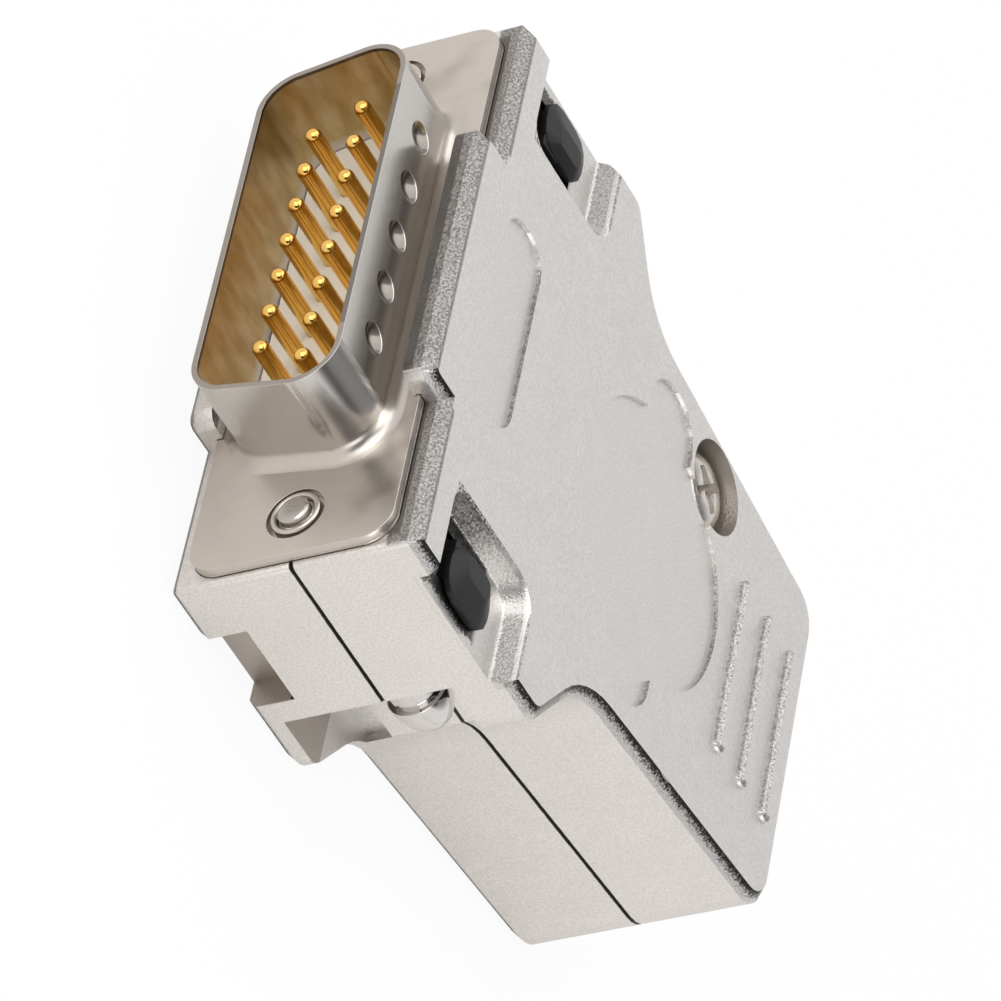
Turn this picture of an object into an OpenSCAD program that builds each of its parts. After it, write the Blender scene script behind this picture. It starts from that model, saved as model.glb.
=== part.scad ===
// Metal d-sub hood: two cast half shells around a 15-way plug, with a cable clamp
// inside and a spring-return lock on each side.
// Every module is drawn in the plug's own frame: X along the plug, Y from the front
// of its flange (Y = 0) to the back of the hood, and Z = 0 where the shells meet.
// place() moves that to the part's frame, whose origin is under the middle of the
// part, on the face that it rests on.

/* [Hood] */
// Width over the two ears
hood_w = 40; // [39.9:0.1:41]
// Thickness over both shells, without the grip ribs
hood_t = 15.3; // [15.3:0.1:16.5]
// Distance from the front of the flange to the back of the hood
hood_l = 43; // [43:0.5:48]
// Width of the cable housing behind the shoulders
body_w = 27.3; // [27.1:0.1:28]
// Width of the cable housing at the back
rear_w = 23.6; // [23:0.1:25]
// Wall thickness of the castings
wall = 1.5; // [1.3:0.1:1.6]
// Width of the bevel round each shell's face
bevel = 0.62; // [0.3:0.02:0.7]
// Width of the lip that reaches over the front of the flange
tongue_w = 19.1; // [16:0.1:20]
// Diameter of the cable outlet
outlet_d = 9; // [7:0.5:9.5]

/* [Grip pockets, pads and ribs] */
// Depth of the thumb pocket beside each ear
pocket_depth = 1.25; // [1:0.05:1.4]
// Depth of the two flat pads
pad_depth = 0.25; // [0.1:0.05:0.4]
// Diameter of the round pad
pad_d = 17.2; // [14:0.2:17.4]
// Height of the grip ribs
rib_h = 0.4; // [0.2:0.05:0.6]
// Length of the grip ribs
rib_l = 13; // [8:0.5:15]
// Number of grip ribs
rib_count = 3; // [1:1:3]

/* [Plug] */
// Width of the flange
flange_w = 39.14; // [38.9:0.01:39.3]
// Height of the flange
flange_h = 12.5; // [12.3:0.05:12.55]
// Thickness of each of the two steel shells' flanges
plate_t = 0.5; // [0.4:0.05:0.5]
// Radius of the flange's corners
flange_r = 1.8; // [0.8:0.1:2]
// Distance between the two lock holes
hole_spacing = 33.32; // [33.2:0.01:33.4]
// Length of the D-shaped shroud
shroud_l = 6; // [5.4:0.1:6.2]
// Outer width of the shroud
shroud_w = 26.1; // [25.9:0.1:26.3]
// Outer height of the shroud
shroud_h = 9.3; // [9.2:0.1:9.5]
// Wall thickness of the shroud
shroud_t = 0.35; // [0.3:0.05:0.4]
// Distance between neighbouring contacts
pitch = 2.743; // [2.7:0.001:2.77]
// Distance between the two rows of contacts
row_gap = 2.84; // [2.7:0.01:2.9]
// Diameter of a contact's pin
pin_d = 1; // [0.8:0.05:1.05]

/* [Lock] */
// How far each release slider travels
travel = 2; // [1:0.1:2]
// Width of the slider's cap
cap_w = 3.6; // [3.2:0.1:3.8]
// Length of the slider's cap
cap_l = 4.6; // [4.2:0.1:4.6]
// Diameter of the lock pin's domed head
head_d = 3.7; // [3.4:0.1:3.8]
// Turns of the return spring
spring_turns = 5; // [4:1:6]

/* [Hidden] */
CONTACTS = [for (i = [1 : 15]) str("contact_", i < 10 ? "0" : "", i)];

eps = 0.01;
arc_steps = 6;
$fn = 48;

// Half thickness, and the inner height of one shell
top = hood_t / 2;
inner_top = top - wall;

// Outline of the hood, right of the middle, from the front to the back
ear_x = hood_w / 2;
front_y = 0.65;
ear_y = 11.9;
shoulder_y = 15.65;
neck = [body_w / 2 + 0.42, 19.7];
rear_x = rear_w / 2;
seam = 0.12;

// Front lip, and the seat that holds the two flanges
lip_y = -1.65;
lip_z = 5.9;
seat_gap = 0.05;
seat_y = 2 * plate_t;

// Grip pocket, drawn on the right: its outline at the rim and at the floor
pocket_z = top - pocket_depth;
pocket_rim = 0.3;
pocket_top = [[13.5, 3.55, 1.2], [ear_x + 2, 3.55, 0], [ear_x + 2, 12.6, 0], [13.5, 12.6, 1.8]];
pocket_floor = [[14.1, 3.8, 1], [ear_x + 2, 3.8, 0], [ear_x + 2, 11.95, 0], [14.1, 11.95, 1.4]];

// Pads of the face, and the first grip rib and the step to the next
label_pad = [[-7.2, 2.6, 2], [7.2, 2.6, 2], [7.2, 7, 2], [-7.2, 7, 2]];
bar_pad = [[-11.7, 20.4, 2.7], [11.7, 20.4, 2.7], [11.7, 26, 2.7], [-11.7, 26, 2.7]];
pad_y = 23.5;
rib_y = 34.35;
rib_pitch = 3.15;
rib_half = 0.55;

// Lock pin and its chamber
lock_x = hole_spacing / 2;
run_gap = 0.05;
pin_r = 1.12;
tip_r = 0.95;
tip_front = -0.42;
neck_r = 0.8;
collar_r = 1.62;
groove_r = 1.4;
head_y = [12.05, 14.6, 17.6];
chamber_y = [4.5, 11.2];
chamber_half = 2.1;
chamber_z = 2.3;

// Release slider: fork on the pin's neck, stem in the slot, and the cap
fork_y = [5.6, 7.4];
fork_half = 1.9;
stem_half = 1.4;
slot_x = [15, 18.4];
slot_front = 4.3;
cap_at = [15.4, 5.3];
cap_z = [pocket_z + 0.1, top - 0.75, top - 0.27];
flat_at = [0.45, 1];
flat_size = [1.45, 2.6];

// Return spring
spring_r = 1.6;
wire_r = 0.16;

// Window behind each ear, where the lock pin's head shows
window_x = 14.7;
window_z = [-4.5, 4.25];
undercut_x = 14;
shelf_z = -6.2;
window_y = 20;

// Finger recess in the side of the lower shell: its floor, its ends and its ceiling
recess_x = 18;
recess_y = [4.6, 10.35];
recess_z = -4.7;

// Screws that hold the shells together
cover_screw = [-9.5, 29.2];
cover_head_r = 2.5;
cover_head_h = 1.4;
cover_head_z = 5.7;
cover_r = 1.25;
cover_depth = 5.6;
boss_r = 3.4;

// Cable outlet and clamp
outlet_y = 40.2;
collar_w = 1.4;
clamp_y = [35.6, 39.4];
clamp_mid_y = clamp_y * [0.5, 0.5];
clamp_r = 4;
clamp_z = -1.2;
clamp_t = 1.8;
clamp_half = 9.3;
clamp_screw_x = 7.4;
clamp_screw_r = 0.9;
clamp_post_r = 1.9;

// Shroud: corner radius, slope of its short sides, root fillet and spring dimples
shroud_r = 2.6;
lean = 10;
d_steps = 14;
fillet_r = 0.9;
fillet_steps = 5;
dimple_pitch = 3.87;
dimple_r = 1.25;
dimple_rise = 0.8;
dimple_y = -3.1;
flange_hole_r = 1.75;
eyelet_r = 1.5;

// Boot of the rear shell, and the insulator in it
boot_d = 0.35;
boot_t = 0.4;
boot_y = 5.4;
slip = 0.03;
face_y = -0.2;
insulator_y = 5;

// Contacts: tip, shoulder and solder cup
tip_y = -5.05;
shoulder_r = 0.8;
shoulder_y0 = 1.5;
cup_y = [5, 9.4];
cup_r = [0.65, 0.95];

die_cast = [0.82, 0.80, 0.78];
plated_steel = [0.72, 0.69, 0.66];
steel = [0.78, 0.78, 0.8];
gold = [0.85, 0.62, 0.22];
cream = [0.87, 0.85, 0.78];
black = [0.13, 0.13, 0.14];

// ---- Outlines and lofts ----

function unit(v) = v / norm(v);
function left_of(v) = [-v.y, v.x];
function turn_of(a, b) = a.x * b.y - a.y * b.x;
function xy(p) = [p[0], p[1]];

// Directions into and out of corner i of a closed outline of [x, y, radius] corners
function way_in(c, i) = unit(xy(c[i]) - xy(c[(i + len(c) - 1) % len(c)]));
function way_out(c, i) = unit(xy(c[(i + 1) % len(c)]) - xy(c[i]));

// The same counter-clockwise outline with every side moved inwards by d
function inset(c, d) = [
    for (i = [0 : len(c) - 1])
        let (u = way_in(c, i), v = way_out(c, i),
             p = xy(c[i]) + d * (left_of(u) + left_of(v)) / (1 + u * v))
        [p.x, p.y, c[i][2] == 0 ? 0 : max(0.05, c[i][2] - d * sign(turn_of(u, v)))]];

// Points of the outline, with an arc of its own radius at each corner
function rounded(c, steps = arc_steps) = [
    for (i = [0 : len(c) - 1])
        let (u = way_in(c, i), v = way_out(c, i), r = c[i][2],
             side = sign(turn_of(u, v)),
             angle = acos(max(-1, min(1, u * v))),
             start = xy(c[i]) - u * r * tan(angle / 2),
             centre = start + left_of(u) * r * side)
        each (r == 0 ? [xy(c[i])] : [
            for (k = [0 : steps])
                let (a = side * angle * k / steps)
                centre - side * r * (left_of(u) * cos(a) - u * sin(a))])];

function mirrored(c) = concat(c, [for (i = [len(c) - 1 : -1 : 0]) [-c[i][0], c[i][1], c[i][2]]]);

// Closed solid through rings of equal numbers of points, from the lowest to the highest
module loft(rings) {
    n = len(rings[0]);
    last = len(rings) - 1;
    polyhedron(
        points = [for (ring = rings) each ring],
        faces = concat(
            [[for (i = [0 : n - 1]) i]],
            [for (k = [0 : last - 1], i = [0 : n - 1])
                [k * n + i, (k + 1) * n + i, (k + 1) * n + (i + 1) % n, k * n + (i + 1) % n]],
            [[for (i = [n - 1 : -1 : 0]) last * n + i]]));
}

// An outline's points at height z, d inside it
function ring(c, d, z, steps = arc_steps) = [for (p = rounded(inset(c, d), steps)) [p.x, p.y, z]];

module prism(c, z0, z1) {
    translate([0, 0, z0]) linear_extrude(z1 - z0) polygon(rounded(c));
}

// Solid between two opposite corners
module block(a, b) {
    translate(a) cube(b - a);
}

// Cylinder along Y
module rod(x, y0, y1, r) {
    translate([x, y0, 0]) rotate([-90, 0, 0]) cylinder(h = y1 - y0, r = r);
}

// Turned piece along Y from a profile of [radius, y] points
module turned(x, z, profile) {
    translate([x, 0, z]) rotate([-90, 0, 0]) rotate_extrude($fn = 32) polygon(profile);
}

module place() {
    translate([0, -(hood_l - shroud_l) / 2, top]) children();
}

module both_sides() {
    for (side = [-1, 1]) scale_x(side) children();
}

module scale_x(side) {
    if (side < 0) mirror([1, 0, 0]) children();
    else children();
}

// ---- Castings ----

hood_corners = let (half = [[ear_x, front_y, 0.3], [ear_x, shoulder_y, 1.6],
    [neck.x, neck.y, 6], [rear_x, hood_l, 2.6]]) mirrored(half);
tongue_corners = mirrored([[tongue_w / 2, lip_y, 0.9], [tongue_w / 2, 6, 0]]);
cavity_corners = mirrored([[13.2, seat_y - 0.1, 0], [13.2, 8.6, 0.5], [body_w / 2 - wall, 11, 0.5],
    [body_w / 2 - wall, 23.5, 3], [rear_x + 0.15 - wall, hood_l - wall, 1.2]]);

// Outer form of one half: a plain wall from the seam, then the bevelled face.
// The lofts run past the face and the seam, which are then cut flat.
module casting() {
    intersection() {
        loft([
            ring(hood_corners, seam + 1, -1),
            ring(hood_corners, 0, seam),
            ring(hood_corners, 0, top - bevel),
            ring(hood_corners, bevel + 1, top + 1)]);
        block([-ear_x - 1, 0, 0], [ear_x + 1, hood_l + 1, top]);
    }
    intersection() {
        loft([
            ring(tongue_corners, 0, 0),
            ring(tongue_corners, 0, top - bevel),
            ring(tongue_corners, bevel + 1, top + 1)]);
        block([-ear_x, lip_y - 1, lip_z], [ear_x, 10, top]);
    }
}

// Everything that both halves share, drawn as the upper one
module half_shell() {
    difference() {
        union() {
            difference() {
                casting();
                prism(cavity_corners, -eps, inner_top);
            }
            // Bosses of the two cover screws and the collar of the cable outlet
            for (side = [-1, 1])
                translate([side * cover_screw.x, cover_screw.y, 0])
                    cylinder(h = inner_top + eps, r = boss_r);
            intersection() {
                rod(0, outlet_y, hood_l - wall + eps, outlet_d / 2 + collar_w);
                block([-ear_x, 0, 0], [ear_x, hood_l, inner_top]);
            }
        }
        flange_seat();
        rod(0, outlet_y - 1, hood_l + 1, outlet_d / 2);
        // The head of this half's screw, and the thread of the other half's
        translate([cover_screw.x, cover_screw.y, -eps]) cylinder(h = top + 1, r = cover_r + 0.1);
        translate([cover_screw.x, cover_screw.y, cover_head_z]) cylinder(h = 4, r = cover_head_r + 0.4);
        translate([-cover_screw.x, cover_screw.y, -eps]) cylinder(h = cover_depth, r = cover_r);
        both_sides() lock_room();
    }
}

module flange_seat() {
    flange_prism(-seat_gap, -seat_gap, seat_y);
}

// Bore and spring chamber of one lock pin
module lock_room() {
    rod(lock_x, front_y - 1, ear_y + 1, pin_r + run_gap);
    block([lock_x - chamber_half, chamber_y[0], -chamber_z],
        [lock_x + chamber_half, chamber_y[1], chamber_z]);
}

module top_shell() {
    color(die_cast) place() {
        difference() {
            half_shell();
            both_sides() {
                block([window_x, ear_y, -1], [ear_x + 1, window_y, window_z[1]]);
                thumb_pocket();
            }
            translate([0, 0, top - pad_depth]) pads();
        }
        for (i = [0 : rib_count - 1]) translate([0, rib_y + rib_pitch * i, top]) grip_rib();
    }
}

// Pocket with the slot that the slider's stem runs in
module thumb_pocket() {
    loft([
        ring(pocket_floor, 0, pocket_z),
        ring(pocket_top, 0, top - pocket_rim),
        ring(pocket_top, -pocket_rim - 0.05, top + 0.05)]);
    block([slot_x[0], slot_front, 0], [slot_x[1], fork_y[1] + travel + 0.15, pocket_z + eps]);
}

// Shallow pads: a rounded one behind the front lip, and a disc with a bar across it
module pads() {
    prism(label_pad, 0, 1);
    translate([0, pad_y, 0]) cylinder(h = 1, d = pad_d, $fn = 96);
    prism(bar_pad, 0, 1);
}

module grip_rib() {
    x = rib_l / 2;
    y = rib_half;
    bar = [[-x, -y, 0.5], [x, -y, 0.5], [x, y, 0.5], [-x, y, 0.5]];
    loft([ring(bar, 0, -0.1), ring(bar, 0.05, rib_h / 2), ring(bar, 0.3, rib_h)]);
}

module bottom_shell() {
    color(die_cast) place() {
        difference() {
            union() {
                rotate([0, 180, 0]) half_shell();
                for (side = [-1, 1])
                    translate([side * clamp_screw_x, clamp_mid_y, -inner_top - eps])
                        cylinder(h = inner_top + clamp_z + eps, r = clamp_post_r);
            }
            both_sides() {
                block([window_x, ear_y, window_z[0]], [ear_x + 1, window_y, 1]);
                block([undercut_x, ear_y, shelf_z], [ear_x + 1, window_y, window_z[0] + eps]);
                side_recess();
            }
            for (side = [-1, 1])
                translate([side * clamp_screw_x, clamp_mid_y, -inner_top + 0.6])
                    cylinder(h = inner_top, r = clamp_screw_r);
        }
    }
}

module side_recess() {
    block([recess_x, recess_y[0], -top - 1], [ear_x + 1, recess_y[1], recess_z]);
}

// ---- Plug ----

// Sharp corners of the D, whose short sides lean in towards the lower row
d_half = shroud_w / 2 + shroud_r * (tan(lean) + 1 / cos(lean) - 1);
d_low = d_half - shroud_h * tan(lean);
d_corners = [
    [-d_low, -shroud_h / 2, shroud_r], [d_low, -shroud_h / 2, shroud_r],
    [d_half, shroud_h / 2, shroud_r], [-d_half, shroud_h / 2, shroud_r]];

// D-shaped prism from y0 to y1, d inside the shroud's outer face
module d_prism(d, y0, y1) {
    translate([0, y1, 0]) rotate([90, 0, 0])
        linear_extrude(y1 - y0) polygon(rounded(inset(d_corners, d), d_steps));
}

// Prism from y0 to y1 of the flange's outline, d inside it
module flange_prism(d, y0, y1) {
    half = [flange_w / 2, flange_h / 2];
    corners = [[-half.x, -half.y, flange_r], [half.x, -half.y, flange_r],
        [half.x, half.y, flange_r], [-half.x, half.y, flange_r]];
    translate([0, y1, 0]) rotate([90, 0, 0])
        linear_extrude(y1 - y0) polygon(rounded(inset(corners, d), 9));
}

// Front steel shell: flange, drawn shroud with its root fillet, and spring dimples
module plug_shell() {
    color(plated_steel) place() {
        difference() {
            union() {
                flange_prism(0, 0, plate_t);
                d_prism(0, -shroud_l, eps);
                root_fillet();
            }
            d_prism(shroud_t, -shroud_l - 1, 1);
            both_sides() rod(lock_x, -1, 1, flange_hole_r);
            dimples(dimple_r);
        }
        intersection() {
            d_prism(shroud_t - 0.1, -shroud_l, 0);
            difference() {
                dimples(dimple_r + shroud_t);
                dimples(dimple_r);
            }
        }
    }
}

// Hollow curve from the flange up the outside of the shroud
module root_fillet() {
    rotate([90, 0, 0]) loft(concat(
        [ring(d_corners, -fillet_r, -0.02, d_steps)],
        [for (k = [1 : fillet_steps])
            let (a = 90 * k / fillet_steps)
            ring(d_corners, -fillet_r * (1 - sin(a)), fillet_r * (1 - cos(a)), d_steps)]));
}

// Row of balls that press the dimples into the shroud's wide side
module dimples(r) {
    for (i = [-2 : 2])
        translate([i * dimple_pitch, dimple_y, shroud_h / 2 + dimple_rise]) sphere(r = r, $fn = 32);
}

// Rear steel shell: flange and the boot that holds the insulator
module rear_shell() {
    color(plated_steel) place() {
        difference() {
            union() {
                flange_prism(0, plate_t, seat_y);
                d_prism(boot_d - boot_t, seat_y - eps, boot_y);
            }
            d_prism(boot_d, 0, insulator_y);
            d_prism(boot_d + 0.5, insulator_y - 1, boot_y + 1);
            both_sides() rod(lock_x, -1, 2, eyelet_r);
        }
    }
}

// Moulded insulator, with a stepped bore for each contact
module insulator() {
    color(cream) place() {
        difference() {
            union() {
                d_prism(shroud_t + slip, face_y, plate_t + eps);
                d_prism(boot_d + slip, plate_t, insulator_y);
            }
            for (i = [0 : 14])
                translate([contact_at(i).x, 0, contact_at(i).y]) {
                    rod(0, face_y - 1, insulator_y, pin_d / 2);
                    rod(0, shoulder_y0, insulator_y + 1, shoulder_r);
                }
        }
    }
}

// Place of contact i: eight on the wide side, then seven below them
function contact_at(i) = i < 8
    ? [(i - 3.5) * pitch, row_gap / 2]
    : [(i - 11) * pitch, -row_gap / 2];

// Turned contact: rounded tip, pin, shoulder and a solder cup that is cut away on one side
module contact(i) {
    r = pin_d / 2;
    at = contact_at(i);
    color(gold) place() difference() {
        turned(at.x, at.y, concat(
            [for (a = [0 : 10 : 90]) [r * sin(a), tip_y + r * (1 - cos(a))]],
            [[r, shoulder_y0], [shoulder_r, shoulder_y0], [shoulder_r, cup_y[0]],
             [cup_r[1], cup_y[0]], [cup_r[1], cup_y[1]], [0, cup_y[1]]]));
        translate([at.x, 0, at.y]) rod(0, cup_y[0] + 1.2, cup_y[1] + 1, cup_r[0]);
        block([at.x - 1, cup_y[0] + 1.6, i < 8 ? at.y + 0.3 : at.y - 2],
            [at.x + 1, cup_y[1] + 1, i < 8 ? at.y + 2 : at.y - 0.3]);
    }
}

// Bush of the lock pin, which stands in a wider hole of the front flange
module eyelet(side) {
    color(plated_steel) place() turned(side * lock_x, 0, [
        [pin_r + run_gap, -0.05], [pin_r + run_gap + 0.08, -0.13], [eyelet_r - 0.1, -0.13],
        [eyelet_r, -0.03], [eyelet_r, seat_y], [pin_r + run_gap, seat_y]]);
}

// ---- Locks ----

// Lock pin: tip in the eyelet, neck for the slider's fork, and a domed head
module lock_pin(side) {
    r = head_d / 2;
    dome = head_y[2] - head_y[1] - 0.2;
    color(steel) place() turned(side * lock_x, 0, concat(
        [[0, tip_front], [tip_r - 0.15, tip_front], [tip_r, tip_front + 0.12], [tip_r, 0.1], [pin_r, 0.2],
         [pin_r, fork_y[0]], [neck_r, fork_y[0]], [neck_r, fork_y[1]], [pin_r, fork_y[1]],
         [pin_r, head_y[0]], [collar_r - 0.1, head_y[0]], [collar_r, head_y[0] + 0.1],
         [collar_r, head_y[1] - 0.2], [groove_r, head_y[1] - 0.15], [groove_r, head_y[1] + 0.05]],
        [for (a = [0 : 10 : 90]) [r * cos(a), head_y[1] + 0.2 + dome * sin(a)]]));
}

// Outline of a box from one corner, with its corners rounded
function box_corners(at, size, r) = [
    [at.x, at.y, r], [at.x + size.x, at.y, r],
    [at.x + size.x, at.y + size.y, r], [at.x, at.y + size.y, r]];

// Release slider: hipped cap, stem through the pocket's slot, and the fork on the pin's neck
module release_slider(side) {
    base = box_corners(cap_at, [cap_w, cap_l], 1.4);
    flat = box_corners(cap_at + flat_at, flat_size, 0.5);
    color(black) place() scale_x(side) difference() {
        union() {
            loft([ring(base, 0, cap_z[0], 3), ring(base, 0, cap_z[1], 3), ring(flat, 0, cap_z[2], 3)]);
            block([lock_x - stem_half, fork_y[0], 0], [lock_x + stem_half, fork_y[1], cap_z[0] + 0.3]);
            block([lock_x - fork_half, fork_y[0], -fork_half], [lock_x + fork_half, fork_y[1], fork_half]);
        }
        rod(lock_x, fork_y[0] - 1, fork_y[1] + 1, neck_r);
        block([lock_x - neck_r, fork_y[0] - 1, -fork_half - 1], [lock_x + neck_r, fork_y[1] + 1, 0]);
    }
}

// Coil spring between the fork and the back of its chamber
module return_spring(side) {
    turn_steps = 14;
    sides = 6;
    steps = spring_turns * turn_steps;
    y0 = fork_y[1] + wire_r;
    rise = chamber_y[1] - wire_r - y0;
    color(steel) place() scale_x(side) translate([lock_x, y0, 0]) rotate([-90, 0, 0])
        loft([for (k = [0 : steps])
            let (a = 360 * k / turn_steps)
            [for (j = [0 : sides - 1])
                let (b = -360 * j / sides, out = spring_r + wire_r * cos(b))
                [out * cos(a), out * sin(a), rise * k / steps + wire_r * sin(b)]]]);
}

// ---- Fasteners and clamp ----

// Cross-slotted screw, drawn with the underside of its head at Z = 0
module cross_screw(head_r, head_h, shank_r, shank_l) {
    difference() {
        union() {
            rotate_extrude($fn = 48) polygon([
                [0, -shank_l], [shank_r - 0.3, -shank_l], [shank_r, -shank_l + 0.3], [shank_r, 0],
                [head_r, 0], [head_r, head_h * 0.45], [head_r * 0.94, head_h * 0.7],
                [head_r * 0.78, head_h * 0.9], [head_r * 0.5, head_h], [0, head_h]]);
        }
        for (a = [45, 135]) rotate([0, 0, a])
            block(head_r * [-0.58, -0.12, 0] + [0, 0, head_h * 0.4],
                head_r * [0.58, 0.12, 0] + [0, 0, head_h + 1]);
    }
}

module cover_screw(up) {
    color(steel) place() rotate([0, up ? 0 : 180, 0])
        translate([cover_screw.x, cover_screw.y, cover_head_z])
            cross_screw(cover_head_r, cover_head_h, cover_r, cover_head_z + cover_depth - 0.3);
}

// Saddle over the cable, with a foot on each post of the lower shell
module cable_clamp() {
    color(plated_steel) place() difference() {
        translate([0, clamp_y[1], 0]) rotate([90, 0, 0])
            linear_extrude(clamp_y[1] - clamp_y[0]) difference() {
                union() {
                    circle(r = clamp_r + 1.4);
                    translate([-clamp_half, clamp_z]) square([2 * clamp_half, clamp_t]);
                }
                circle(r = clamp_r);
                translate([-20, clamp_z - 20]) square([40, 20]);
            }
        for (side = [-1, 1])
            translate([side * clamp_screw_x, clamp_mid_y, clamp_z - 1])
                cylinder(h = 4, r = clamp_screw_r + 0.1);
    }
}

module clamp_screw(side) {
    color(steel) place()
        translate([side * clamp_screw_x, clamp_mid_y, clamp_z + clamp_t])
            cross_screw(1.7, 1.1, clamp_screw_r, 5.6);
}

top_shell();
bottom_shell();
plug_shell();
rear_shell();
insulator();
for (i = [0 : 14])
    contact(i);
eyelet(-1);  // eyelet_left
eyelet(1);  // eyelet_right
lock_pin(-1);  // lock_pin_left
lock_pin(1);  // lock_pin_right
release_slider(-1);  // release_slider_left
release_slider(1);  // release_slider_right
return_spring(-1);  // return_spring_left
return_spring(1);  // return_spring_right
cover_screw(true);  // cover_screw_top
cover_screw(false);  // cover_screw_bottom
cable_clamp();
clamp_screw(-1);  // clamp_screw_left
clamp_screw(1);  // clamp_screw_right
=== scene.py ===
"""Looks of the d-sub hood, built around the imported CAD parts. Lengths are in metres."""

import math

import bpy
from mathutils import Matrix, Vector

MM = 0.001
X, Y, Z = range(3)

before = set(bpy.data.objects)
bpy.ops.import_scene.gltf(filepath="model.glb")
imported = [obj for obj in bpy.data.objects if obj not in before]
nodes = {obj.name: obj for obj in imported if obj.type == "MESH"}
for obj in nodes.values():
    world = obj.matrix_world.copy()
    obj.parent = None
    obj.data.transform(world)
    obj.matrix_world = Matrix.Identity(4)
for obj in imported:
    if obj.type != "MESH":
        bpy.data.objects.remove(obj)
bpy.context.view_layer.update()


def reach(name, axis):
    """Lowest and highest place of a CAD node along an axis."""
    node = nodes[name]
    places = [(node.matrix_world @ Vector(corner))[axis] for corner in node.bound_box]
    return min(places), max(places)


def middle(name, axis):
    return sum(reach(name, axis)) / 2


# Front of the flange, the height at which the castings meet, and how far their faces are from it
PLATE = 0.5 * MM
FLANGE_Y = reach("rear_shell", Y)[0] - PLATE
SEAM_Z = reach("top_shell", Z)[0]
FACE = SEAM_Z - reach("bottom_shell", Z)[0]

# How far modifiers round each group of pieces
CASTING_ROUND = 0.07 * MM
SHEET_ROUND = 0.15 * MM
SLIDER_ROUND = 0.2 * MM
INNER_ROUND = 0.05 * MM
TURNED_ROUND = 0.04 * MM

# Places on the castings that have a finish or painted light and shade of their own: X from the
# middle, Y from the front of the flange, and heights from the seam
BEVEL = 0.75 * MM
EAR_BRIM = 1.45 * MM
TONGUE_BRIM = -0.85 * MM
TONGUE_X = 9.8 * MM
LIP_BOTTOM = 5.85 * MM
LIP_MIDDLE = 6.45 * MM
FLANGE_X = 18.9 * MM
RIBS_Y = 33 * MM
POCKET_X = 13.2 * MM
POCKET_Y = (3.4 * MM, 12.75 * MM)
POCKET_FLOOR = 6.45 * MM
# Reach of the painted shadow beside the caps on the pocket floors
CAP_SHADOW_X = 19.3 * MM
CAP_SHADOW_Y = 9.3 * MM
WINDOW_X = 14.5 * MM
WINDOW_Y = (11.8 * MM, 19.8 * MM)
WINDOW_TOP = 4.4 * MM
SIDE_X = reach("top_shell", X)[1] - CASTING_ROUND
RECESS_Y = (4.55 * MM, 10.4 * MM)
RECESS_TOP = -4.65 * MM
UNDERCUT_X = 13.9 * MM
UNDERCUT_Y = (11.8 * MM, 16 * MM)
UNDERCUT_Z = (-6.3 * MM, -4.45 * MM)
SCREW_X = abs(middle("cover_screw_top", X))
SCREW_Y = middle("cover_screw_top", Y) - FLANGE_Y
COUNTERBORE = 3.05 * MM

# Front edge and top of the drawn shroud, and the reach of its row of dimples
SHROUD_FRONT = reach("plug_shell", Y)[0]
SHROUD_TOP = SEAM_Z + 4.65 * MM
DIMPLES_X = 9.2 * MM


# ---- Camera ----

CAMERA_AZIMUTH = 47.1
CAMERA_ELEVATION = 24.73
CAMERA_ROLL = 77.74
CAMERA_DISTANCE = 405.76 * MM
CAMERA_AIM = Vector((-0.53, -0.26, 8.11)) * MM
LENS = 257.47
SENSOR = 36


def add_camera():
    az = math.radians(CAMERA_AZIMUTH)
    el = math.radians(CAMERA_ELEVATION)
    back = Vector((math.sin(az) * math.cos(el), -math.cos(az) * math.cos(el), math.sin(el)))
    level = Vector((0, 0, 1)).cross(back).normalized()
    upright = Matrix((level, back.cross(level), back)).transposed()
    data = bpy.data.cameras.new("camera")
    data.lens = LENS
    data.sensor_width = SENSOR
    data.clip_start = 0.01
    data.clip_end = 10
    camera = bpy.data.objects.new("camera", data)
    turned = upright @ Matrix.Rotation(math.radians(CAMERA_ROLL), 3, "Z")
    place = CAMERA_AIM + CAMERA_DISTANCE * back
    camera.matrix_world = Matrix.Translation(place) @ turned.to_4x4()
    bpy.context.scene.collection.objects.link(camera)
    bpy.context.scene.camera = camera


# ---- Node helpers ----

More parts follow.
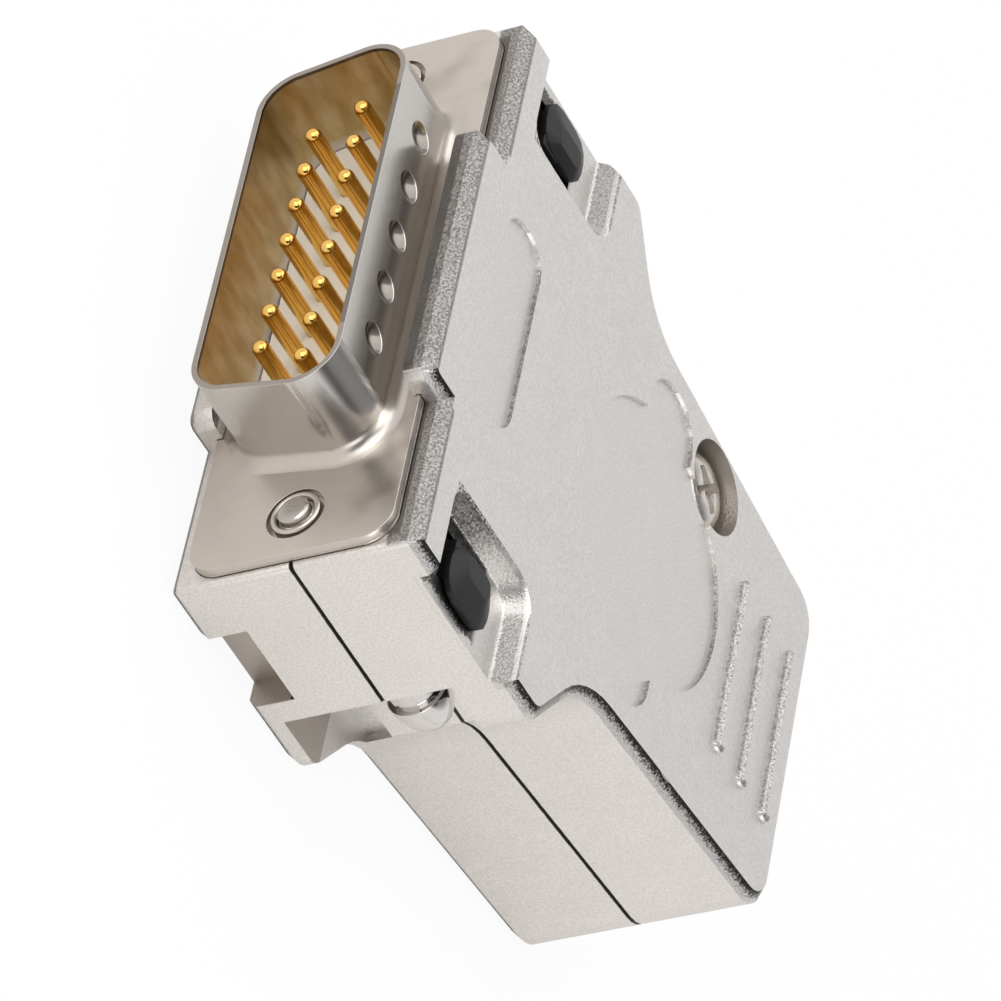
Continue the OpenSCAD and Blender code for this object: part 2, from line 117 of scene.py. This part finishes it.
class Graph:
    """Node tree of a material or a world, with short calls to add and link nodes."""

    def __init__(self, owner, place="Object"):
        self.owner = owner
        owner.use_nodes = True
        self.tree = owner.node_tree
        self.tree.nodes.clear()
        kind = "ShaderNodeOutputMaterial" if place == "Object" else "ShaderNodeOutputWorld"
        self.output = self.tree.nodes.new(kind)
        self.place = self.add("ShaderNodeTexCoord").outputs[place]

    def add(self, kind, **values):
        node = self.tree.nodes.new(kind)
        for key, value in values.items():
            if hasattr(node, key):
                setattr(node, key, value)
            else:
                self.put(node, key.replace("_", " "), value)
        return node

    def put(self, node, socket, value):
        found = node.inputs[socket]
        if isinstance(value, bpy.types.NodeSocket):
            self.tree.links.new(value, found)
        else:
            found.default_value = value

    def noise(self, size, detail=2.0, roughness=0.5, stretch=None):
        """Noise whose grains are about size metres across; stretch divides it along X, Y and Z."""
        place = self.place
        if stretch:
            mapping = self.add("ShaderNodeMapping", vector_type="POINT")
            self.put(mapping, "Vector", place)
            self.put(mapping, "Scale", stretch)
            place = mapping.outputs["Vector"]
        node = self.add("ShaderNodeTexNoise")
        self.put(node, "Vector", place)
        self.put(node, "Scale", 1 / size)
        self.put(node, "Detail", detail)
        self.put(node, "Roughness", roughness)
        return node.outputs["Fac"]

    def math(self, operation, a, b=0.0):
        node = self.add("ShaderNodeMath", operation=operation)
        self.put(node, 0, a)
        self.put(node, 1, b)
        return node.outputs[0]

    def dot(self, a, b):
        node = self.add("ShaderNodeVectorMath", operation="DOT_PRODUCT")
        self.put(node, 0, a)
        self.put(node, 1, b)
        return node.outputs["Value"]

    def remap(self, value, low, high, to_low=0.0, to_high=1.0):
        """value from low..high to to_low..to_high, eased and held at both ends."""
        node = self.add("ShaderNodeMapRange", interpolation_type="SMOOTHSTEP")
        self.put(node, "Value", value)
        self.put(node, "From Min", low)
        self.put(node, "From Max", high)
        self.put(node, "To Min", to_low)
        self.put(node, "To Max", to_high)
        return node.outputs["Result"]

    def above(self, value, low, blur=0.05 * MM):
        """1 where value is above low, fading to 0 over blur."""
        return self.remap(value, low - blur, low)

    def below(self, value, high, blur=0.05 * MM):
        return self.remap(value, high + blur, high)

    def within(self, value, low, high, blur=0.05 * MM):
        return self.all(self.above(value, low, blur), self.below(value, high, blur))

    def all(self, *masks):
        """Mask of the places where all of these masks hold."""
        product = masks[0]
        for mask in masks[1:]:
            product = self.math("MULTIPLY", product, mask)
        return product

    def any(self, *masks):
        """Mask of the places where one of these masks holds."""
        highest = masks[0]
        for mask in masks[1:]:
            highest = self.math("MAXIMUM", highest, mask)
        return highest

    def mix(self, factor, a, b):
        node = self.add("ShaderNodeMix", data_type="RGBA")
        self.put(node, 0, factor)
        self.put(node, 6, a)
        self.put(node, 7, b)
        return node.outputs[2]

    def axis(self, vector, name):
        node = self.add("ShaderNodeSeparateXYZ")
        self.put(node, "Vector", vector)
        return node.outputs[name]

    def bump(self, height, distance, strength, normal=None):
        node = self.add("ShaderNodeBump")
        self.put(node, "Strength", strength)
        self.put(node, "Distance", distance)
        self.put(node, "Height", height)
        if normal is not None:
            self.put(node, "Normal", normal)
        return node.outputs["Normal"]

    def surface(self, shader):
        self.tree.links.new(shader.outputs[0], self.output.inputs["Surface"])
        return self.owner

    def finish(self, **inputs):
        """Ends the material in one Principled shader with these inputs."""
        shader = self.add("ShaderNodeBsdfPrincipled")
        for key, value in inputs.items():
            self.put(shader, key.replace("_", " "), value)
        return self.surface(shader)


def new_graph(name):
    return Graph(bpy.data.materials.new(name))


def grey(level, warmth=0.0):
    """A grey that leans to red and away from blue as warmth grows."""
    return (level * (1 + warmth), level, level * (1 - warmth), 1)


# ---- Materials ----

class CastingGraph(Graph):
    """Graph with the places, directions and noises that the castings' finishes share.

    across runs from the middle to both sides, along runs back from the flange's front, and
    height runs up from the seam. sideways, backward and upward say how a face looks, and
    level is 1 on a level face and 0 on an upright one."""

    def __init__(self, name):
        super().__init__(bpy.data.materials.new(name))
        self.across = self.math("ABSOLUTE", self.axis(self.place, "X"))
        self.along = self.math("SUBTRACT", self.axis(self.place, "Y"), FLANGE_Y)
        self.height = self.math("SUBTRACT", self.axis(self.place, "Z"), SEAM_Z)
        self.from_seam = self.math("ABSOLUTE", self.height)
        facing = self.add("ShaderNodeNewGeometry").outputs["True Normal"]
        self.sideways = self.math("ABSOLUTE", self.axis(facing, "X"))
        self.backward = self.axis(facing, "Y")
        self.upward = self.axis(facing, "Z")
        self.level = self.math("ABSOLUTE", self.upward)
        self.fine = self.noise(0.16 * MM, 2, 0.7)
        self.coarse = self.noise(0.15 * MM, 2, 0.6)
        self.clouds = self.noise(3 * MM, 3, 0.6)
        self.spots = self.remap(self.coarse, 0.32, 0.68)

    def speckle(self, dark, light):
        return self.mix(self.spots, dark, light)

    def ragged(self, value, spread):
        """value with coarse grains that shift it to and fro, so that a mask gets a ragged edge."""
        shift = self.math("MULTIPLY", self.math("SUBTRACT", self.coarse, 0.5), spread)
        return self.math("ADD", value, shift)


def casting_face(g):
    """Colour of the open faces: clouds under a fine grain."""
    plain = g.mix(g.clouds, grey(0.725, 0.028), grey(0.795, 0.034))
    grained = g.mix(g.remap(g.fine, 0.38, 0.62), plain, grey(0.52, 0.05))
    return g.mix(0.38, plain, grained)


def casting_edges(g, open_face):
    """Mask and colour of the coarse edges: bevels, front lips, the strips behind them and ribs,
    with painted shade on the lower lips and painted shade and highlight on the side bevels.
    """
    bevel = g.all(g.within(g.level, 0.3, 0.9, 0.1), g.above(g.from_seam, FACE - BEVEL), open_face)
    lip = g.all(g.remap(g.backward, -0.7, -0.9), g.above(g.height, LIP_BOTTOM, 0.2 * MM))
    ear_brim = g.all(g.within(g.along, 0, EAR_BRIM, 0.15 * MM), g.above(g.across, TONGUE_X))
    tongue_brim = g.below(g.along, TONGUE_BRIM, 0.15 * MM)
    brim = g.all(g.any(ear_brim, tongue_brim), g.remap(g.level, 0.9, 0.98))

    # Evenly grained, with painted shade darkening the lower half of the lips
    colour = g.speckle(grey(0.16, 0.05), grey(0.42, 0.04))
    low_lip_shade = g.all(lip, g.below(g.from_seam, LIP_MIDDLE, 0.1 * MM),
                    g.below(g.across, FLANGE_X, 0.6 * MM))
    colour = g.mix(low_lip_shade, colour, g.mix(g.coarse, grey(0.07, 0.08), grey(0.20, 0.08)))

    # Painted shade and highlight on the bevels of the sides: black at the face, going to light
    black = g.remap(g.ragged(g.from_seam, 0.9 * MM), FACE - 0.46 * MM, FACE - 0.12 * MM)
    side = g.all(bevel, g.remap(g.sideways, 0.35, 0.5))
    colour = g.mix(side, colour, g.mix(black, grey(0.66, 0.03), grey(0.03, 0.05)))

    ribs = g.all(g.above(g.along, RIBS_Y), g.above(g.height, FACE + 0.04 * MM))
    colour = g.mix(ribs, colour, g.speckle(grey(0.24, 0.04), grey(0.54, 0.03)))
    return g.any(bevel, lip, brim), colour


def thumb_pockets(g, face):
    """Mask and colour of the pockets, with painted light and shade: walls shaded dark at the front,
    painted highlights on the rims and a painted shadow on the floor by the cap.
    """
    mask = g.all(g.above(g.across, POCKET_X), g.within(g.along, *POCKET_Y),
                 g.above(g.height, POCKET_FLOOR - 0.3 * MM))
    # Painted shade: the side walls go from dark at the front to light at the rear
    rear = g.remap(g.ragged(g.along, 4 * MM), 6 * MM, 10 * MM)
    wall = g.mix(rear, g.speckle(grey(0.07, 0.05), grey(0.26, 0.05)), grey(0.62, 0.05))
    # Painted shade on the wall at the rear end of the pocket
    rear_end = g.remap(g.backward, -0.6, -0.92)
    wall = g.mix(rear_end, wall, g.speckle(grey(0.20, 0.04), grey(0.42, 0.03)))
    # Painted highlights along the top and bottom rims of the pockets
    rims = g.any(g.above(g.height, FACE - 0.1 * MM, 0.02 * MM),
                 g.within(g.height, POCKET_FLOOR, POCKET_FLOOR + 0.06 * MM, 0.03 * MM))
    wall = g.mix(g.all(rims, g.remap(g.coarse, 0.40, 0.60)), wall, grey(0.78, 0.02))
    # Painted shadow of the cap on the pocket floor beside it
    cap_shadow = g.all(g.below(g.ragged(g.across, 1.2 * MM), CAP_SHADOW_X, 0.15 * MM),
                  g.below(g.along, CAP_SHADOW_Y, 0.6 * MM))
    floor = g.mix(cap_shadow, face, g.speckle(grey(0.03, 0.05), grey(0.16, 0.05)))
    return mask, g.mix(g.all(mask, g.below(g.height, POCKET_FLOOR)), wall, floor)


def casting_hollows(g):
    """Mask and painted shade of the recesses, undercuts and counterbores, with a painted black
    shadow under the ceilings.
    """
    inside = g.below(g.across, SIDE_X, 0.01 * MM)
    recess = g.all(inside, g.within(g.along, *RECESS_Y), g.below(g.height, RECESS_TOP))
    undercut = g.all(inside, g.above(g.across, UNDERCUT_X), g.within(g.along, *UNDERCUT_Y),
                     g.within(g.height, *UNDERCUT_Z))
    off_x = g.math("SUBTRACT", g.across, SCREW_X)
    off_y = g.math("SUBTRACT", g.along, SCREW_Y)
    squares = g.math("ADD", g.math("MULTIPLY", off_x, off_x), g.math("MULTIPLY", off_y, off_y))
    from_screw = g.math("SQRT", squares)
    counterbore = g.all(g.below(from_screw, COUNTERBORE), g.below(g.level, 0.8, 0.1))
    window_ceiling = g.all(g.above(g.across, WINDOW_X), g.within(g.along, *WINDOW_Y),
                           g.within(g.height, 0, WINDOW_TOP), g.remap(g.upward, -0.5, -0.8))
    recess_ceiling = g.all(recess, g.above(g.height, RECESS_TOP - 0.3 * MM))

    # Painted shade: the hollows are darker than the open faces, and painted black shadow lies under
    # the ceilings
    colour = g.mix(g.clouds, grey(0.40, 0.09), grey(0.50, 0.09))
    colour = g.mix(recess_ceiling, colour, grey(0.04, 0.1))
    colour = g.mix(window_ceiling, colour, grey(0.03, 0.1))
    return g.any(recess, undercut, counterbore, window_ceiling), colour


def cast_nickel():
    """Satin plated casting, with fine grain on its faces and a dark line where the halves meet."""
    g = CastingGraph("cast_nickel")
    face = casting_face(g)
    pocket, pocket_colour = thumb_pockets(g, face)
    edge, edge_colour = casting_edges(g, g.math("SUBTRACT", 1.0, pocket))
    # Painted shade in the hollows
    hollow, hollow_shade = casting_hollows(g)
    wobble = g.math("MULTIPLY", g.noise(0.6 * MM), 0.06 * MM)
    seam = g.remap(g.math("ADD", g.from_seam, wobble), 0.18 * MM, 0.13 * MM)

    colour = g.mix(edge, face, edge_colour)
    colour = g.mix(pocket, colour, pocket_colour)
    colour = g.mix(hollow, colour, hollow_shade)
    colour = g.mix(seam, colour, grey(0.035, 0.15))

    satin = g.remap(g.fine, 0.3, 0.8, 0.46, 0.38)
    grain = g.bump(g.fine, 0.030 * MM, 0.8)
    return g.finish(
        Base_Color=colour,
        Metallic=1.0,
        Roughness=g.math("ADD", satin, g.math("MULTIPLY", pocket, -0.12)),
        Normal=g.bump(g.coarse, 0.08 * MM, g.math("MULTIPLY", edge, 0.6), grain))


def plated_sheet():
    """Nickel-plated sheet: satin on the flange with painted dark reflections, bright on the drawn
    shroud with painted shade in its dimples, and a painted golden reflection of the pins inside it.
    """
    g = new_graph("plated_sheet")
    across = g.math("ABSOLUTE", g.axis(g.place, "X"))
    along = g.axis(g.place, "Y")
    height = g.axis(g.place, "Z")
    facing = g.add("ShaderNodeNewGeometry").outputs["True Normal"]
    backward = g.axis(facing, "Y")
    from_middle = g.add("ShaderNodeVectorMath", operation="SUBTRACT")
    g.put(from_middle, 0, g.place)
    g.put(from_middle, 1, (0, FLANGE_Y, SEAM_Z))
    outward = g.dot(facing, from_middle.outputs[0])

    drawn = g.remap(along, FLANGE_Y - 0.4 * MM, FLANGE_Y - 1.1 * MM)
    lining = g.all(drawn, g.remap(outward, -1 * MM, -2 * MM), g.within(backward, -0.5, 0.5, 0.1))
    rim = g.all(g.remap(backward, -0.85, -0.95), drawn)
    rolled = g.all(g.below(along, SHROUD_FRONT + 0.2 * MM), g.remap(outward, -0.3 * MM, -1 * MM))
    dimples = g.all(g.below(across, DIMPLES_X), drawn,
                    g.within(height, SHROUD_TOP - 0.6 * MM, SHROUD_TOP - 0.05 * MM, 0.04 * MM))

    fine = g.noise(0.12 * MM, 2, 0.6)
    clouds = g.noise(2.5 * MM, 3, 0.65)
    mottle = g.noise(0.5 * MM, 3, 0.7)
    # Painted dark reflections on the flat flange
    dark_reflections = g.remap(g.noise(5 * MM), 0.52, 0.75)
    streaks = g.noise(1.1 * MM, stretch=(1, 0.4, 1))
    plate = g.mix(clouds, grey(0.52, 0.075), grey(0.60, 0.085))
    plate = g.mix(g.all(dark_reflections, g.math("SUBTRACT", 1.0, drawn)), plate, grey(0.34, 0.11))
    bright = g.mix(clouds, grey(0.52, 0.05), grey(0.60, 0.05))
    # Painted reflection of the gold pins and cream insulator on the shroud's inner walls
    gold_reflection = g.mix(g.remap(streaks, 0.3, 0.7), (0.44, 0.31, 0.14, 1), (0.58, 0.46, 0.27, 1))

    colour = g.mix(drawn, plate, bright)
    colour = g.mix(rim, colour, grey(0.33, 0.10))
    # Painted shade in the dimples
    colour = g.mix(dimples, colour, grey(0.20, 0.1))
    colour = g.mix(lining, colour, gold_reflection)
    colour = g.mix(rolled, colour, grey(0.12, 0.2))
    satin = g.remap(drawn, 0, 1, 0.29, 0.16)
    roughness = g.math("ADD", g.math("MULTIPLY", mottle, 0.05), satin)
    uneven = g.math("ADD", fine, g.math("MULTIPLY", mottle, 0.4))
    return g.finish(
        Base_Color=colour,
        Metallic=1.0,
        Roughness=g.math("ADD", roughness, g.math("MULTIPLY", lining, 0.14)),
        Normal=g.bump(uneven, 0.005 * MM, 0.3))


def gold_plate():
    """Gold-plated pins with faint streaks along them."""
    g = new_graph("gold_plate")
    streak = g.noise(0.7 * MM, stretch=(1, 0.3, 1))
    colour = g.mix(streak, (0.80, 0.44, 0.085, 1), (0.96, 0.66, 0.21, 1))
    return g.finish(
        Base_Color=colour,
        Metallic=1.0,
        Roughness=g.remap(streak, 0.3, 0.7, 0.13, 0.22),
        Normal=g.bump(streak, 0.004 * MM, 0.1))


def pale_insulator():
    """Matt cream-coloured moulding."""
    g = new_graph("pale_insulator")
    clouds = g.noise(1.5 * MM)
    fine = g.noise(0.15 * MM, 2, 0.6)
    return g.finish(
        Base_Color=g.mix(clouds, (0.80, 0.77, 0.68, 1), (0.86, 0.83, 0.75, 1)),
        Roughness=g.remap(fine, 0.3, 0.7, 0.42, 0.55),
        Normal=g.bump(fine, 0.01 * MM, 0.3))


def black_moulding():
    """Black moulding, softly grained."""
    g = new_graph("black_moulding")
    fine = g.noise(0.12 * MM, 2, 0.6)
    clouds = g.noise(1.2 * MM, 3, 0.6)
    return g.finish(
        Base_Color=g.mix(clouds, (0.006, 0.006, 0.007, 1), (0.014, 0.0135, 0.0155, 1)),
        Specular_IOR_Level=0.32,
        Roughness=g.remap(fine, 0.3, 0.7, 0.42, 0.55),
        Normal=g.bump(fine, 0.012 * MM, 0.4))


def polished_steel():
    """Turned steel, polished but for the duller tips in front of the flange."""
    g = new_graph("polished_steel")
    rings = g.noise(0.2 * MM, stretch=(0.3, 3, 0.3))
    tip = g.below(g.axis(g.place, "Y"), FLANGE_Y)
    steel = g.mix(rings, grey(0.60, 0.03), grey(0.72, 0.03))
    polish = g.remap(rings, 0.3, 0.7, 0.05, 0.11)
    return g.finish(
        Base_Color=g.mix(tip, steel, grey(0.48, 0.05)),
        Metallic=1.0,
        Roughness=g.math("ADD", polish, g.math("MULTIPLY", tip, 0.18)),
        Normal=g.bump(rings, 0.002 * MM, 0.3))


def screw_nickel():
    """Nickel-plated screws, a little uneven."""
    g = new_graph("screw_nickel")
    fine = g.noise(0.2 * MM, 3, 0.6)
    return g.finish(
        Base_Color=g.mix(fine, grey(0.50, 0.07), grey(0.68, 0.06)),
        Metallic=1.0,
        Roughness=g.remap(fine, 0.3, 0.7, 0.14, 0.26),
        Normal=g.bump(fine, 0.008 * MM, 0.3))


def spring_wire():
    """Drawn steel wire."""
    g = new_graph("spring_wire")
    fine = g.noise(0.1 * MM, 2, 0.6)
    return g.finish(
        Base_Color=g.mix(fine, grey(0.45, 0.0), grey(0.6, 0.0)),
        Metallic=1.0,
        Roughness=g.remap(fine, 0.3, 0.7, 0.22, 0.34),
        Normal=g.bump(fine, 0.003 * MM, 0.3))


# ---- Pieces ----

# Edges sharper than SHARP stay sharp, and a face counts as looking straight along an axis
# when its normal's part along it is above STRAIGHT
SHARP = math.radians(32)
STRAIGHT = 0.9999
WELD = 0.0005 * MM


def smoothing(name, flat_axes):
    """Node group that shades a mesh smooth, apart from its edges sharper than SHARP.

    Faces that look straight along one of flat_axes stay flat."""
    group = bpy.data.node_groups.new(name, "GeometryNodeTree")
    group.interface.new_socket("Geometry", in_out="INPUT", socket_type="NodeSocketGeometry")
    group.interface.new_socket("Geometry", in_out="OUTPUT", socket_type="NodeSocketGeometry")
    make, link = group.nodes.new, group.links.new

    def above(value, limit):
        node = make("FunctionNodeCompare")
        node.data_type, node.operation = "FLOAT", "GREATER_THAN"
        node.inputs[1].default_value = limit
        link(value, node.inputs[0])
        return node.outputs["Result"]

    def either(a, b):
        node = make("FunctionNodeBooleanMath")
        node.operation = "OR"
        link(a, node.inputs[0])
        link(b, node.inputs[1])
        return node.outputs[0]

    shade = make("GeometryNodeSetMeshNormal")
    shade.mode = "SHARPNESS"
    shade.inputs["Remove Custom"].default_value = True
    sharp = above(make("GeometryNodeInputMeshEdgeAngle").outputs["Unsigned Angle"], SHARP)
    if flat_axes:
        split = make("ShaderNodeSeparateXYZ")
        link(make("GeometryNodeInputNormal").outputs[0], split.inputs[0])
        for axis in flat_axes:
            size = make("ShaderNodeMath")
            size.operation = "ABSOLUTE"
            link(split.outputs[axis], size.inputs[0])
            flat = make("GeometryNodeFieldOnDomain")
            flat.domain, flat.data_type = "FACE", "BOOLEAN"
            link(above(size.outputs[0], STRAIGHT), flat.inputs[0])
            sharp = either(sharp, flat.outputs[0])
    link(sharp, shade.inputs["Edge Sharpness"])
    link(make("NodeGroupInput").outputs[0], shade.inputs["Mesh"])
    link(shade.outputs[0], make("NodeGroupOutput").inputs[0])
    return group


def soften(names, width=0.0, angle=30, flat_axes="", segments=2):
    """Rounds the CAD nodes' edges sharper than angle by width and shades their curves smooth.

    Only modifiers do it, so each node's own mesh stays as it is."""
    for name in names:
        add = nodes[name].modifiers.new
        weld = add("weld", "WELD")
        weld.merge_threshold = WELD
        if width:
            bevel = add("round", "BEVEL")
            bevel.width = width
            bevel.segments = segments
            bevel.limit_method = "ANGLE"
            bevel.angle_limit = math.radians(angle)
        add("smooth", "NODES").node_group = smoothing("smooth_" + name, flat_axes)
        even = add("even", "WEIGHTED_NORMAL")
        even.keep_sharp = True
        even.weight = 100


def dress(material, names):
    for name in names:
        slots = nodes[name].data.materials
        slots.clear()
        slots.append(material)


def pair(name):
    return [name + "_left", name + "_right"]


def starting(prefix):
    return [name for name in nodes if name.startswith(prefix)]


def dress_cad_nodes():
    castings = ["top_shell", "bottom_shell"]
    screws = starting("cover_screw_") + pair("clamp_screw")
    dress(cast_nickel(), castings)
    dress(plated_sheet(), ["plug_shell", "rear_shell", "cable_clamp"] + pair("eyelet"))
    dress(gold_plate(), starting("contact_"))
    dress(pale_insulator(), ["insulator"])
    dress(black_moulding(), pair("release_slider"))
    dress(polished_steel(), pair("lock_pin"))
    dress(screw_nickel(), screws)
    dress(spring_wire(), pair("return_spring"))

    soften(castings, CASTING_ROUND, flat_axes="XYZ")
    soften(["plug_shell"], SHEET_ROUND, flat_axes="XYZ", segments=3)
    soften(pair("release_slider"), SLIDER_ROUND, 14, segments=3)
    soften(["rear_shell", "cable_clamp", "insulator"], INNER_ROUND, flat_axes="XYZ")
    soften(pair("lock_pin") + pair("eyelet") + screws, TURNED_ROUND)
    soften(starting("contact_") + pair("return_spring"))


# ---- Floor and light ----

FLOOR_HALF = 1.5

# Brightness of the studio by the height of the direction, from its horizon to overhead
SKY = ((0.0, 0.95), (0.45, 0.95), (0.60, 0.45), (0.70, 0.22), (0.85, 0.35), (1.0, 0.75))

# Dark parts of the studio, each a direction and its reach in degrees
DARK_GAPS = (((0.66, -0.62, 0.42), 30), ((0.42, 0.62, 0.66), 14))

# Soft square lamps that look at the part: name, direction, distance, size and power
LAMPS = (("key", (-0.35, -0.25, 1.0), 0.6, 0.70, 2.6),
         ("side", (1.0, 0.15, 0.35), 0.6, 0.45, 0.9),
         ("front", (0.25, -1.0, 0.45), 0.5, 0.40, 1.0))


def add_floor():
    """Matt pale floor that the camera sees nearly white, and that metal mirrors half as bright."""
    mesh = bpy.data.meshes.new("floor")
    low, high = -FLOOR_HALF, FLOOR_HALF
    corners = [(low, low, 0), (high, low, 0), (high, high, 0), (low, high, 0)]
    mesh.from_pydata(corners, [], [(0, 1, 2, 3)])
    floor = bpy.data.objects.new("floor", mesh)
    bpy.context.scene.collection.objects.link(floor)
    g = new_graph("floor")
    path = g.add("ShaderNodeLightPath").outputs
    mirrored = g.math("MAXIMUM", path["Is Glossy Ray"], path["Is Transmission Ray"])
    seen = g.math("MULTIPLY", path["Is Camera Ray"], 0.93)
    shown = g.math("MAXIMUM", seen, g.math("MULTIPLY", mirrored, 0.5))
    matt = g.add("ShaderNodeBsdfDiffuse", Color=grey(0.86))
    tint = g.mix(mirrored, (1, 1, 1, 1), grey(0.86, 0.06))
    white = g.add("ShaderNodeEmission", Color=tint, Strength=1.0)
    blend = g.add("ShaderNodeMixShader")
    g.put(blend, 0, shown)
    g.put(blend, 1, matt.outputs[0])
    g.put(blend, 2, white.outputs[0])
    mesh.materials.append(g.surface(blend))


def add_world():
    """Soft studio: bright near the horizon, dimmer overhead, with dark gaps between the lamps."""
    world = bpy.data.worlds.new("studio")
    bpy.context.scene.world = world
    g = Graph(world, "Generated")
    ramp = g.add("ShaderNodeValToRGB")
    g.put(ramp, 0, g.axis(g.place, "Z"))
    stops = ramp.color_ramp.elements
    stops.remove(stops[1])
    stops[0].position = SKY[0][0]
    stops[0].color = grey(SKY[0][1])
    for position, level in SKY[1:]:
        stops.new(position).color = grey(level)
    colour = ramp.outputs[0]
    for direction, reach_in_degrees in DARK_GAPS:
        toward = g.dot(g.place, Vector(direction).normalized())
        edge = math.cos(math.radians(reach_in_degrees))
        colour = g.mix(g.remap(toward, edge, edge + 0.05), colour, grey(0.02))
    g.surface(g.add("ShaderNodeBackground", Color=colour, Strength=1.0))


def add_lamps():
    for name, direction, distance, size, power in LAMPS:
        data = bpy.data.lights.new(name, "AREA")
        data.size = size
        data.energy = power
        lamp = bpy.data.objects.new(name, data)
        back = Vector(direction).normalized()
        turned = back.to_track_quat("Z", "Y").to_matrix().to_4x4()
        lamp.matrix_world = Matrix.Translation(back * distance) @ turned
        bpy.context.scene.collection.objects.link(lamp)


add_camera()
dress_cad_nodes()
add_floor()
add_world()
add_lamps()

bpy.context.scene.view_settings.view_transform = "Standard"
